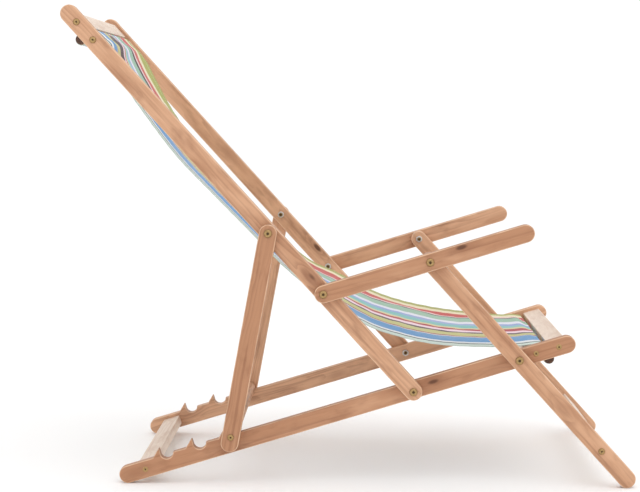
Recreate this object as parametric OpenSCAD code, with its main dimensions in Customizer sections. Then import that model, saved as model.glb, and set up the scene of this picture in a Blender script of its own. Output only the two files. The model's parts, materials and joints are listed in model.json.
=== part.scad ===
// Folding beach chair with a fabric sling.
// X points the way the chair faces, Y to the sitter's left, Z up; the origin is on the
// floor, under the middle of the chair. Four rails on each side make a parallelogram
// (base rail, back rail, front leg, armrest), and a swinging prop sets the recline.

/* [Overall] */
// Width over the pivot bolt heads
overall_w = 600; // [560:5:680]
// Angle between the base rails, ahead of the back pivot, and the back rails
back_angle = 115.3; // [114:0.1:117]

/* [Boards] */
// Width of every rail, seen from the side
rail_w = 35; // [32:1:36]
// Thickness of every board
board_t = 20; // [18:1:22]
// Width of the crossbar boards
crossbar_w = 37; // [34:1:38]
// Gap that keeps neighbouring rails apart at a pivot
layer_gap = 1.5; // [1.2:0.1:2]

/* [Base frame] */
// From the back pivot to the rounding of the base rail's rear end
base_rear_len = 597; // [585:1:610]
// From the back pivot to the rounding of the base rail's front end
base_front_len = 318; // [312:1:330]
// From the back pivot to the front leg pivot
leg_pivot_x = 218; // [210:1:222]
// From the back pivot to the middle of the rear crossbar
rear_crossbar_x = 560; // [550:1:566]
// From the back pivot to the middle of the board that the sling pulls on
front_tension_x = 254.5; // [250:0.5:258]
// Distance between the two boards of a pair
board_pitch = 47; // [45:0.5:48]

/* [Notches] */
// Number of recline notches
notch_count = 3; // [1:1:3]
// From the back pivot to the foremost notch
first_notch_x = 371; // [369:0.5:373]
// Distance between notches
notch_pitch = 69; // [68:0.5:70]
// Height of the foremost notch's bar above the rail's middle line
notch_bar_z = 20.6; // [20:0.1:21]
// Height of a notch's tooth above the rail
tooth_h = 14; // [8:1:15]
// Length of the ramp behind a tooth
tooth_ramp = 17; // [14:1:18]

/* [Back frame] */
// From the back pivot to the rounding of the back rail's top end
back_len = 1003; // [1000:1:1020]
// From the back pivot to the middle of the board that the sling hangs on
top_tension_s = 934; // [930:1:940]
// From the back pivot to the prop pivot
prop_pivot_s = 426; // [424:1:428]

/* [Armrests and legs] */
// From the back pivot to the armrest pivot, along the back rail
arm_pivot_s = 265; // [260:1:270]
// From the armrest's rear pivot to the rounding of its front end
arm_len = 412; // [380:1:430]
// From the leg pivot to the rounding of the leg's foot
leg_len = 320; // [316:1:324]
// From the leg pivot to the middle of the leg crossbar
leg_crossbar_s = 244; // [230:1:250]

/* [Rods and bolts] */
// Diameter of the bar at the foot of the prop
prop_bar_d = 25; // [22:1:25]
// Diameter of the rods in the sling's hems
hem_rod_d = 20; // [16:1:20]
// Diameter of the pivot bolts
bolt_d = 8; // [6:1:8]
// Diameter of the crossbar screws
screw_d = 5; // [4:0.5:6]

/* [Sling] */
// Width of the fabric
sling_w = 436; // [400:1:440]
// Thickness of the fabric with its wrinkles
sling_t = 2; // [1.5:0.1:2]

/* [Hidden] */

wood_side = [0.78, 0.60, 0.45];
wood_light = [0.86, 0.72, 0.58];
brass = [0.80, 0.66, 0.38];
steel = [0.62, 0.62, 0.64];
fabric = [0.72, 0.80, 0.82];

$fn = 48;
left = 1;
right = -1;
sides = [left, right];
bolt_clearance = 0.1;
open_pivot_clearance = 0.3;
free_gap = 0.3;
cut = 1;

// Bolt and screw proportions
head_d = 2 * bolt_d;
head_h = 4;
head_rim_h = 0.6 * head_h;
head_crown_d = 0.78 * head_d;
socket_d = 0.62 * bolt_d;
socket_depth = 2.6;
nut_d = 1.75 * bolt_d;
nut_h = 0.8 * bolt_d;
bolt_end = 1.5;
washer_d = 2.6 * bolt_d;
screw_head_d = 2.6 * screw_d;
screw_head_h = 3.2;
screw_socket_d = 0.4 * screw_head_d;
screw_socket_depth = 0.6 * screw_head_h;
flush_head_rise = 0.8;
screw_bite = 26;

// Board layers, each given by the distance of its outer face from the middle plane
outer_y = overall_w / 2 - head_h - free_gap;
middle_y = outer_y - board_t - layer_gap;
inner_y = middle_y - board_t - layer_gap;
base_inside_y = inner_y - board_t;
back_inside_y = middle_y - board_t;
prop_inside_y = outer_y - board_t;

// Side view. The base frame leans so that its rear ends and the feet both reach the floor.
foot_run = base_rear_len + leg_pivot_x - leg_len * cos(back_angle);
foot_drop = leg_len * sin(back_angle);
base_tilt = atan2(foot_drop, foot_run);
back_slope = back_angle + base_tilt;
pivot_z = rail_w / 2 + base_rear_len * sin(base_tilt);
rear_reach = rail_w / 2 - back_len * cos(back_slope);
front_reach = leg_pivot_x * cos(base_tilt) - leg_len * cos(back_slope) + rail_w / 2;
pivot_x = (rear_reach - front_reach) / 2;

// The prop hangs from the back rail and its bar lies in the foremost notch
prop_top = [prop_pivot_s * cos(back_angle), prop_pivot_s * sin(back_angle)];
prop_foot = [-first_notch_x, notch_bar_z];
prop_run = prop_foot - prop_top;
prop_len = norm(prop_run);
prop_slope = atan2(prop_run[1], prop_run[0]);
prop_tail = 30;
notch_clearance = 0.4;
tooth_tip_w = 2;
notch_r = prop_bar_d / 2 + notch_clearance;

// Slots between the boards of a pair, which the sling passes through
front_slot_x = front_tension_x + board_pitch / 2;
front_crossbar_x = front_tension_x + board_pitch;
top_slot_s = top_tension_s + board_pitch / 2;
top_crossbar_s = top_tension_s + board_pitch;
base_crossbar_places = [-rear_crossbar_x, front_tension_x, front_crossbar_x];
top_crossbar_places = [top_tension_s, top_crossbar_s];
hem_t = 1.5;
rod_drop = board_t / 2 + hem_t + free_gap + hem_rod_d / 2;
rod_overhang = 11;
rod_len = sling_w + 2 * rod_overhang;

// The sling's side view: x ahead of the back pivot and y above the base rails' middle line
fabric_lift = board_t / 2 + sling_t / 2 + free_gap;
sling_steps = 14;
sling_join = [-82, 190];
seat_lift = [-25, 118];
seat_pull = [140, 42];
back_pull = [-200, 285];
back_lift = [-350, 600];
edge_run = 6;
join_gap = 0.6;
seat_edge = [front_slot_x - edge_run, fabric_lift];
top_edge = on_back(top_tension_s - crossbar_w / 2, -fabric_lift);

// A point of the back frame, in the base frame's side view
function on_back(s, behind) = [
    s * cos(back_angle) - behind * sin(back_angle),
    s * sin(back_angle) + behind * cos(back_angle)];

function bezier(a, b, c, d, t) =
    a * pow(1 - t, 3) + 3 * b * t * pow(1 - t, 2) + 3 * c * t * t * (1 - t) + d * pow(t, 3);

function unit(v) = v / norm(v);

// Left-hand normal of a path at point i, stretched at a corner so that a strip keeps its width
function path_normal(p, i) =
    let (before = unit(p[max(i, 1)] - p[max(i, 1) - 1]))
    let (after = unit(p[min(i, len(p) - 2) + 1] - p[min(i, len(p) - 2)]))
    let (n = unit([-before[1] - after[1], before[0] + after[0]]))
    n / max(0.5, n * [-after[1], after[0]]);

// Outline of a strip that follows a path
function strip(p, t) = concat(
    [for (i = [0 : len(p) - 1]) p[i] + path_normal(p, i) * t / 2],
    [for (i = [len(p) - 1 : -1 : 0]) p[i] - path_normal(p, i) * t / 2]);

seat_curve = [for (i = [0 : sling_steps])
    bezier(sling_join, seat_lift, seat_pull, seat_edge, i / sling_steps)];
back_curve = [for (i = [0 : sling_steps])
    bezier(sling_join, back_pull, back_lift, top_edge, i / sling_steps)];

// Frames of reference: each one's X runs along its rails
module base_place() {
    translate([pivot_x, 0, pivot_z]) rotate([0, -base_tilt, 0]) children();
}

module back_place() {
    base_place() rotate([0, -back_angle, 0]) children();
}

module leg_place() {
    base_place() translate([leg_pivot_x, 0, 0]) rotate([0, -back_angle, 0]) children();
}

module arm_place() {
    back_place() translate([arm_pivot_s, 0, 0]) rotate([0, back_angle, 0]) children();
}

module prop_place() {
    base_place() translate([prop_top[0], 0, prop_top[1]]) rotate([0, -prop_slope, 0]) children();
}

// Outline of a rail with round ends
module rail_outline(start, end) {
    translate([start, -rail_w / 2]) square([end - start, rail_w]);
    translate([start, 0]) circle(d = rail_w);
    translate([end, 0]) circle(d = rail_w);
}

// Gives an outline drawn in the side view the thickness of a board. side is left or right,
// and face_y is how far the board's outer face is from the middle plane.
module board(side, face_y) {
    near_y = side == left ? face_y : board_t - face_y;
    translate([0, near_y, 0]) rotate([90, 0, 0]) linear_extrude(board_t) children();
}

// A round bar or hole across the chair, from one side coordinate to another
module across(x, z, from_y, to_y, d) {
    translate([x, to_y, z]) rotate([90, 0, 0]) cylinder(d = d, h = to_y - from_y);
}

// A hole through a board of one side, at a place of its outline
module board_hole(x, side, face_y, d) {
    middle = side * (face_y - board_t / 2);
    across(x, 0, middle - board_t, middle + board_t, d);
}

// Pivot bolt with a button head on the outside, its shank reaching the nut on the inside
module pivot_bolt(x, side, out_y, in_y) {
    head_y = out_y + free_gap;
    end_y = in_y - nut_h - bolt_end;
    scale([1, side, 1]) difference() {
        union() {
            across(x, 0, end_y, head_y, bolt_d);
            across(x, 0, head_y, head_y + head_rim_h, head_d);
            across(x, 0, head_y, head_y + head_h, head_crown_d);
        }
        translate([x, head_y + head_h + cut, 0]) rotate([90, 0, 0])
            cylinder(d = socket_d / cos(30), h = socket_depth + cut, $fn = 6);
    }
}

module pivot_nut(x, side, in_y) {
    scale([1, side, 1]) difference() {
        translate([x, in_y, 0]) rotate([90, 0, 0]) cylinder(d = nut_d, h = nut_h, $fn = 6);
        across(x, 0, in_y - nut_h - cut, in_y + cut, bolt_d + 2 * bolt_clearance);
    }
}

// Washer between two rails. It lies against the rail that carries the bolt.
module pivot_washer(x, side, rail_y) {
    scale([1, side, 1]) difference() {
        across(x, 0, rail_y, rail_y + layer_gap - free_gap, washer_d);
        across(x, 0, rail_y - cut, rail_y + layer_gap + cut, bolt_d + 2 * bolt_clearance);
    }
}

// Screw through a rail into the end of a crossbar
module end_screw(x, z, side, face_y, rise) {
    scale([1, side, 1]) difference() {
        union() {
            across(x, z, face_y - board_t - screw_bite, face_y, screw_d);
            across(x, z, face_y + rise - screw_head_h, face_y + rise, screw_head_d);
        }
        translate([x, face_y + rise + cut, z]) rotate([90, 0, 0])
            cylinder(d = screw_socket_d, h = screw_socket_depth + cut, $fn = 6);
    }
}

// The space that an end screw takes out of the wood
module end_screw_hole(x, z, side, face_y, rise) {
    clear = 2 * bolt_clearance;
    scale([1, side, 1]) {
        across(x, z, face_y - board_t - screw_bite - cut, face_y + cut, screw_d + clear);
        across(x, z, face_y + rise - screw_head_h, face_y + rise + cut, screw_head_d + clear);
    }
}

// Crossbar board between two rails, with its screw holes
module crossbar(x, inside_y, face_y) {
    color(wood_light) difference() {
        translate([x - crossbar_w / 2, -inside_y, -board_t / 2])
            cube([crossbar_w, 2 * inside_y, board_t]);
        for (side = sides) end_screw_hole(x, 0, side, face_y, 0);
    }
}

module base_rail(side) {
    color(wood_side) base_place() difference() {
        board(side, inner_y) base_rail_outline();
        for (x = [0, leg_pivot_x]) board_hole(x, side, inner_y, bolt_d + 2 * bolt_clearance);
        for (x = base_crossbar_places) end_screw_hole(x, 0, side, inner_y, flush_head_rise);
    }
}

// Rail with a ratchet tooth behind each notch
module base_rail_outline() {
    difference() {
        union() {
            rail_outline(-base_rear_len, base_front_len);
            for (i = [0 : notch_count - 1]) tooth_outline(notch_place(i));
        }
        for (i = [0 : notch_count - 1]) notch_outline(notch_place(i));
    }
}

function notch_place(i) = -first_notch_x - i * notch_pitch;

module tooth_outline(x) {
    tip = x - notch_r;
    polygon([[tip, 0], [tip, rail_w / 2 + tooth_h], [tip - tooth_tip_w, rail_w / 2 + tooth_h],
        [tip - tooth_ramp, rail_w / 2], [tip - tooth_ramp, 0]]);
}

module notch_outline(x) {
    translate([x, notch_bar_z]) circle(r = notch_r);
    translate([x - notch_r, notch_bar_z]) square([2 * notch_r, rail_w]);
}

module rear_crossbar() {
    base_place() crossbar(-rear_crossbar_x, base_inside_y, inner_y);
}

module front_crossbar() {
    base_place() crossbar(front_crossbar_x, base_inside_y, inner_y);
}

module front_tension_bar() {
    base_place() crossbar(front_tension_x, base_inside_y, inner_y);
}

module front_hem_rod() {
    color(wood_light) base_place()
        across(front_slot_x, -rod_drop, -rod_len / 2, rod_len / 2, hem_rod_d);
}

module top_hem_rod() {
    color(wood_light) back_place()
        across(top_slot_s, rod_drop, -rod_len / 2, rod_len / 2, hem_rod_d);
}

// Tube of fabric around a hem rod
module hem(x, z) {
    difference() {
        across(x, z, -sling_w / 2, sling_w / 2, hem_rod_d + 2 * hem_t);
        across(x, z, -sling_w, sling_w, hem_rod_d + 2 * bolt_clearance);
    }
}

// Strip of fabric across the chair that follows a path in the side view
module fabric_strip(path) {
    translate([0, sling_w / 2, 0]) rotate([90, 0, 0])
        linear_extrude(sling_w) polygon(strip(path, sling_t));
}

module sling_seat() {
    drop = -rod_drop + hem_rod_d / 2 + hem_t / 2;
    tail = [[front_slot_x, fabric_lift], [front_slot_x, drop]];
    color(fabric) base_place() {
        fabric_strip(concat([sling_join - join_gap * unit(sling_join - seat_lift)],
            [for (i = [1 : sling_steps]) seat_curve[i]], tail));
        hem(front_slot_x, -rod_drop);
    }
}

module sling_back() {
    drop = rod_drop - hem_rod_d / 2 - hem_t / 2;
    tail = [on_back(top_slot_s, -fabric_lift), on_back(top_slot_s, drop)];
    color(fabric) base_place() {
        fabric_strip(concat([for (i = [0 : sling_steps]) back_curve[i]], tail));
        rotate([0, -back_angle, 0]) hem(top_slot_s, rod_drop);
    }
}

module base_crossbar_screws() {
    color(brass) base_place() for (side = sides, x = base_crossbar_places)
        end_screw(x, 0, side, inner_y, flush_head_rise);
}

module back_rail(side) {
    color(wood_side) back_place() difference() {
        board(side, middle_y) rail_outline(0, back_len);
        for (x = [0, arm_pivot_s, prop_pivot_s])
            board_hole(x, side, middle_y, bolt_d + 2 * bolt_clearance);
        for (x = top_crossbar_places) end_screw_hole(x, 0, side, middle_y, screw_head_h);
    }
}

module top_crossbar() {
    back_place() crossbar(top_crossbar_s, back_inside_y, middle_y);
}

module top_tension_bar() {
    back_place() crossbar(top_tension_s, back_inside_y, middle_y);
}

module top_crossbar_screws() {
    color(brass) back_place() for (side = sides, x = top_crossbar_places)
        end_screw(x, 0, side, middle_y, screw_head_h);
}

module front_leg(side) {
    color(wood_side) leg_place() difference() {
        board(side, middle_y) rail_outline(-leg_len, arm_pivot_s);
        for (x = [0, arm_pivot_s]) board_hole(x, side, middle_y, bolt_d + 2 * bolt_clearance);
        end_screw_hole(-leg_crossbar_s, 0, side, middle_y, screw_head_h);
    }
}

module leg_crossbar() {
    leg_place() crossbar(-leg_crossbar_s, back_inside_y, middle_y);
}

module leg_crossbar_screws() {
    color(brass) leg_place() for (side = sides)
        end_screw(-leg_crossbar_s, 0, side, middle_y, screw_head_h);
}

module armrest(side) {
    color(wood_side) arm_place() difference() {
        board(side, outer_y) rail_outline(0, arm_len);
        board_hole(0, side, outer_y, bolt_d + 2 * bolt_clearance);
        board_hole(leg_pivot_x, side, outer_y, bolt_d + 2 * open_pivot_clearance);
    }
}

module prop_leg(side) {
    color(wood_side) prop_place() difference() {
        board(side, outer_y) rail_outline(0, prop_len + prop_tail - rail_w / 2);
        board_hole(0, side, outer_y, bolt_d + 2 * bolt_clearance);
        end_screw_hole(prop_len, 0, side, outer_y, screw_head_h);
    }
}

module prop_crossbar() {
    color(wood_light) prop_place() difference() {
        across(prop_len, 0, -prop_inside_y, prop_inside_y, prop_bar_d);
        for (side = sides) end_screw_hole(prop_len, 0, side, outer_y, screw_head_h);
    }
}

module prop_crossbar_screws() {
    color(brass) prop_place() for (side = sides)
        end_screw(prop_len, 0, side, outer_y, screw_head_h);
}

// Back pivot: back rail on base rail
module back_pivot_bolts() {
    color(brass) base_place() for (side = sides) pivot_bolt(0, side, middle_y, base_inside_y);
}

module back_pivot_nuts() {
    color(steel) base_place() for (side = sides) pivot_nut(0, side, base_inside_y);
}

module back_pivot_washers() {
    color(steel) base_place() for (side = sides) pivot_washer(0, side, inner_y);
}

// Leg pivot: front leg on base rail
module leg_pivot_bolts() {
    color(brass) base_place() for (side = sides)
        pivot_bolt(leg_pivot_x, side, middle_y, base_inside_y);
}

module leg_pivot_nuts() {
    color(steel) base_place() for (side = sides) pivot_nut(leg_pivot_x, side, base_inside_y);
}

module leg_pivot_washers() {
    color(steel) base_place() for (side = sides) pivot_washer(leg_pivot_x, side, inner_y);
}

// Rear armrest pivot: armrest on back rail
module armrest_pivot_bolts() {
    color(brass) back_place() for (side = sides)
        pivot_bolt(arm_pivot_s, side, outer_y, back_inside_y);
}

module armrest_pivot_nuts() {
    color(steel) back_place() for (side = sides) pivot_nut(arm_pivot_s, side, back_inside_y);
}

module armrest_pivot_washers() {
    color(steel) back_place() for (side = sides) pivot_washer(arm_pivot_s, side, middle_y);
}

// Prop pivot: prop leg on back rail
module prop_pivot_bolts() {
    color(brass) back_place() for (side = sides)
        pivot_bolt(prop_pivot_s, side, outer_y, back_inside_y);
}

module prop_pivot_nuts() {
    color(steel) back_place() for (side = sides) pivot_nut(prop_pivot_s, side, back_inside_y);
}

module prop_pivot_washers() {
    color(steel) back_place() for (side = sides) pivot_washer(prop_pivot_s, side, middle_y);
}

// Front armrest pivot: armrest on front leg
module armrest_front_bolts() {
    color(brass) leg_place() for (side = sides)
        pivot_bolt(arm_pivot_s, side, outer_y, back_inside_y);
}

module armrest_front_nuts() {
    color(steel) leg_place() for (side = sides) pivot_nut(arm_pivot_s, side, back_inside_y);
}

module armrest_front_washers() {
    color(steel) leg_place() for (side = sides) pivot_washer(arm_pivot_s, side, middle_y);
}

base_rail(left);  // base_rail_left
base_rail(right);  // base_rail_right
rear_crossbar();
front_crossbar();
front_tension_bar();
front_hem_rod();
sling_seat();
base_crossbar_screws();
back_pivot_bolts();
back_pivot_nuts();
back_pivot_washers();
leg_pivot_bolts();
leg_pivot_nuts();
leg_pivot_washers();
back_rail(left);  // back_rail_left
back_rail(right);  // back_rail_right
top_crossbar();
top_tension_bar();
top_hem_rod();
sling_back();
top_crossbar_screws();
armrest_pivot_bolts();
armrest_pivot_nuts();
armrest_pivot_washers();
prop_pivot_bolts();
prop_pivot_nuts();
prop_pivot_washers();
front_leg(left);  // front_leg_left
front_leg(right);  // front_leg_right
leg_crossbar();
leg_crossbar_screws();
armrest_front_bolts();
armrest_front_nuts();
armrest_front_washers();
prop_leg(left);  // prop_leg_left
prop_leg(right);  // prop_leg_right
prop_crossbar();
prop_crossbar_screws();
armrest(left);  // armrest_left
armrest(right);  // armrest_right
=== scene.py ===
"""Looks of the folding beach chair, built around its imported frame.

Boards, fasteners and the fabric sling are made where the frame says. Lengths are in metres unless
a name ends in _MM. Colours from 0 to 255 are display colours, which linear() turns into shader
colours. The side view is described in the base frame's own axes: u runs forward along the base
rails from the back pivot, v stands square to them.
"""
import json
import math
import random

import bmesh
import bpy
import numpy as np
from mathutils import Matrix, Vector


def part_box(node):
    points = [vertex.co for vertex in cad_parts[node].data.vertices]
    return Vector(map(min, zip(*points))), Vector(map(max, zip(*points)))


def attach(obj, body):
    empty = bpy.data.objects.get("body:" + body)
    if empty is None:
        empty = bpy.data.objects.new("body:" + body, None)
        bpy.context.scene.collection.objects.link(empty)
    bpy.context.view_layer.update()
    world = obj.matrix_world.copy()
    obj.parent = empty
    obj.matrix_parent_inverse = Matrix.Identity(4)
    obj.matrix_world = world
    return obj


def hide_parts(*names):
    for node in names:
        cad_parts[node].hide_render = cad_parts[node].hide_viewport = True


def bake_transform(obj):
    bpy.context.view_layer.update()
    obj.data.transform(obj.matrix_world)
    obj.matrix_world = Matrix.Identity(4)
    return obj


MM = 0.001
RNG = random.Random(7)

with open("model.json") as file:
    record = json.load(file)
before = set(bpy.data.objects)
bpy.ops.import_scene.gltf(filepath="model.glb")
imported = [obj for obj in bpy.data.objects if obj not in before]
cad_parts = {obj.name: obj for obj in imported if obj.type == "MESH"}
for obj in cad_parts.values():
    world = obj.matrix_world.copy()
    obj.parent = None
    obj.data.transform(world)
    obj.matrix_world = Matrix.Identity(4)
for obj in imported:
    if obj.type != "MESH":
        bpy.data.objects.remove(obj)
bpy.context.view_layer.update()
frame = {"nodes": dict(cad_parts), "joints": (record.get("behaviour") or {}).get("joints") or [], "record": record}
NODES = frame["nodes"]
BODY_OF = {n: b for b, names in frame["record"]["behaviour"]["bodies"].items() for n in names}
PIVOT = {j["name"]: Vector(j["pos_m"]) for j in frame["joints"]}


def middle(node):
    low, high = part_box(node)
    return (low + high) / 2


def direction(start, end):
    return (end - start).normalized()


BACK_PIVOT = PIVOT["recline"]
BASE_DIR = direction(BACK_PIVOT, PIVOT["leg_fold"])
BACK_DIR = direction(BACK_PIVOT, PIVOT["armrest_left_tilt"])
PROP_DIR = direction(PIVOT["prop_swing"], middle("prop_crossbar"))


def upright(along):
    """The direction square to a board's run, in the side view."""
    return Vector((-along.z, 0, along.x))


def side_view(u, v):
    """The place of a side-view point, in the middle plane of the chair."""
    return BACK_PIVOT + BASE_DIR * u + upright(BASE_DIR) * v


def in_side_view(point):
    offset = point - BACK_PIVOT
    return offset.dot(BASE_DIR), offset.dot(upright(BASE_DIR))


# ---------------------------------------------------------------- camera and stage

CAMERA_PLACE = (0.0088, -3.3898, 0.7561)
CAMERA_TURN = (math.pi / 2 - 0.0881, 0.0, 0.022)
CAMERA_LENS_MM = 89.62
SENSOR_MM = 36
WORLD_STRENGTH = 1.06
FLOOR_HALF = 60
FLOOR_WHITE = 0.985
FLOOR_DROP = 0.5 * MM
LIGHTS_AIM = Vector((0, 0, 0.45))
# Soft round lights: name, place, diameter, power in watts
LIGHTS = [
    ("key", (0.9, -1.6, 3.2), 3.0, 16),
    ("front_fill", (-1.2, -3.4, 1.3), 2.4, 5),
]


def make_camera():
    data = bpy.data.cameras.new("camera")
    data.lens = CAMERA_LENS_MM
    data.sensor_width = SENSOR_MM
    camera = bpy.data.objects.new("camera", data)
    camera.location = CAMERA_PLACE
    camera.rotation_euler = CAMERA_TURN
    bpy.context.scene.collection.objects.link(camera)
    bpy.context.scene.camera = camera


def area_light(name, place, size, power):
    """A soft round light, turned to the chair's middle."""
    data = bpy.data.lights.new(name, "AREA")
    data.shape = "DISK"
    data.size = size
    data.energy = power
    light = bpy.data.objects.new(name, data)
    light.location = place
    light.rotation_euler = (LIGHTS_AIM - Vector(place)).to_track_quat("-Z", "Y").to_euler()
    bpy.context.scene.collection.objects.link(light)


def make_stage():
    """A white floor that runs into a white surrounding, and soft lights from above and in front."""
    scene = bpy.context.scene
    scene.view_settings.view_transform = "Standard"
    world = bpy.data.worlds.new("studio")
    world.use_nodes = True
    background = world.node_tree.nodes["Background"]
    background.inputs["Color"].default_value = (1, 1, 1, 1)
    background.inputs["Strength"].default_value = WORLD_STRENGTH
    scene.world = world

    mesh = bpy.data.meshes.new("floor")
    half = FLOOR_HALF
    corners = [(-half, -half, 0), (half, -half, 0), (half, half, 0), (-half, half, 0)]
    mesh.from_pydata(corners, [], [(0, 1, 2, 3)])
    floor = bpy.data.objects.new("floor", mesh)
    floor.location.z = -FLOOR_DROP
    scene.collection.objects.link(floor)
    mesh.materials.append(floor_material())

    for light in LIGHTS:
        area_light(*light)


def floor_material():
    """White paper, so pale that it runs into the white of the world."""
    material = bpy.data.materials.new("floor_paper")
    material.use_nodes = True
    shader = material.node_tree.nodes["Principled BSDF"]
    shader.inputs["Base Color"].default_value = (FLOOR_WHITE, FLOOR_WHITE, FLOOR_WHITE, 1)
    shader.inputs["Roughness"].default_value = 1.0
    return material


# ---------------------------------------------------------------- material graphs

def linear(r, g, b):
    """A display colour, 0 to 255, as the linear colour that the shaders take."""
    def channel(c):
        c /= 255
        return c / 12.92 if c <= 0.04045 else ((c + 0.055) / 1.055) ** 2.4

    return (channel(r), channel(g), channel(b), 1.0)


class Graph:
    """Short ways to add nodes to one material."""

    def __init__(self, name):
        self.material = bpy.data.materials.new(name)
        self.material.use_nodes = True
        self.tree = self.material.node_tree
        self.shader = self.tree.nodes["Principled BSDF"]

    def node(self, kind, **settings):
        made = self.tree.nodes.new(kind)
        for key, value in settings.items():
            setattr(made, key, value)
        return made

    def set(self, socket, value):
        if isinstance(value, bpy.types.NodeSocket):
            self.tree.links.new(value, socket)
        else:
            socket.default_value = value

    def attribute(self, name, output="Fac"):
        return self.node("ShaderNodeAttribute", attribute_name=name).outputs[output]

    def math(self, operation, a, b=0.0, c=0.0):
        made = self.node("ShaderNodeMath", operation=operation)
        for socket, value in zip(made.inputs, (a, b, c)):
            self.set(socket, value)
        return made.outputs[0]

    def scaled(self, vector, factors):
        made = self.node("ShaderNodeVectorMath", operation="MULTIPLY")
        self.set(made.inputs[0], vector)
        self.set(made.inputs[1], factors)
        return made.outputs[0]

    def length(self, vector):
        made = self.node("ShaderNodeVectorMath", operation="LENGTH")
        self.set(made.inputs[0], vector)
        return made.outputs["Value"]

    def noise(self, vector, detail=3.0, roughness=0.5):
        made = self.node("ShaderNodeTexNoise")
        self.set(made.inputs["Vector"], vector)
        self.set(made.inputs["Scale"], 1.0)
        self.set(made.inputs["Detail"], detail)
        self.set(made.inputs["Roughness"], roughness)
        return made.outputs["Fac"]

    def span(self, value, low, high, to_low=0.0, to_high=1.0):
        """value from low..high, smoothly, to to_low..to_high."""
        made = self.node("ShaderNodeMapRange", interpolation_type="SMOOTHSTEP")
        for socket, v in zip(made.inputs, (value, low, high, to_low, to_high)):
            self.set(socket, v)
        return made.outputs[0]

    def mix(self, share, a, b, blend="MIX"):
        made = self.node("ShaderNodeMix", data_type="RGBA", blend_type=blend)
        self.set(made.inputs[0], share)
        self.set(made.inputs[6], a)
        self.set(made.inputs[7], b)
        return made.outputs[2]

    def bump(self, height, strength, distance, below=None):
        made = self.node("ShaderNodeBump")
        made.inputs["Strength"].default_value = strength
        made.inputs["Distance"].default_value = distance
        self.set(made.inputs["Height"], height)
        if below is not None:
            self.set(made.inputs["Normal"], below)
        return made.outputs[0]

    def finish(self, **inputs):
        for name, value in inputs.items():
            self.set(self.shader.inputs[name.replace("_", " ")], value)
        return self.material


# Noise and cell frequencies, per metre along the grain and the two ways across it
KNOT_CELLS = (9.0, 5.0, 24.0)
SLOW_BEND = (2.2, 16.0, 16.0)
QUICK_BEND = (9.0, 90.0, 90.0)
PLAIN_PATCHES = (3.0, 30.0, 30.0)
FIBRES = (22.0, 900.0, 900.0)
STREAKS = (3.5, 120.0, 120.0)
CLOUDS = (6.0, 26.0, 26.0)
BLOTCHES = (14.0, 40.0, 40.0)
END_PORES = (60.0, 1500.0, 1500.0)
# The next: patches where the arris gets a stronger painted highlight
ARRIS_HIGHLIGHT_PATCHES = (30.0, 120.0, 120.0)
# Distance between growth rings, and how far each cause pushes a ring out of round
RING_WIDTH = 6.8 * MM
SLOW_PUSH = 55 * MM
QUICK_PUSH = 2.2 * MM
KNOT_PUSH = 12 * MM
KNOT_HEART = (86, 50, 32)


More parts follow.
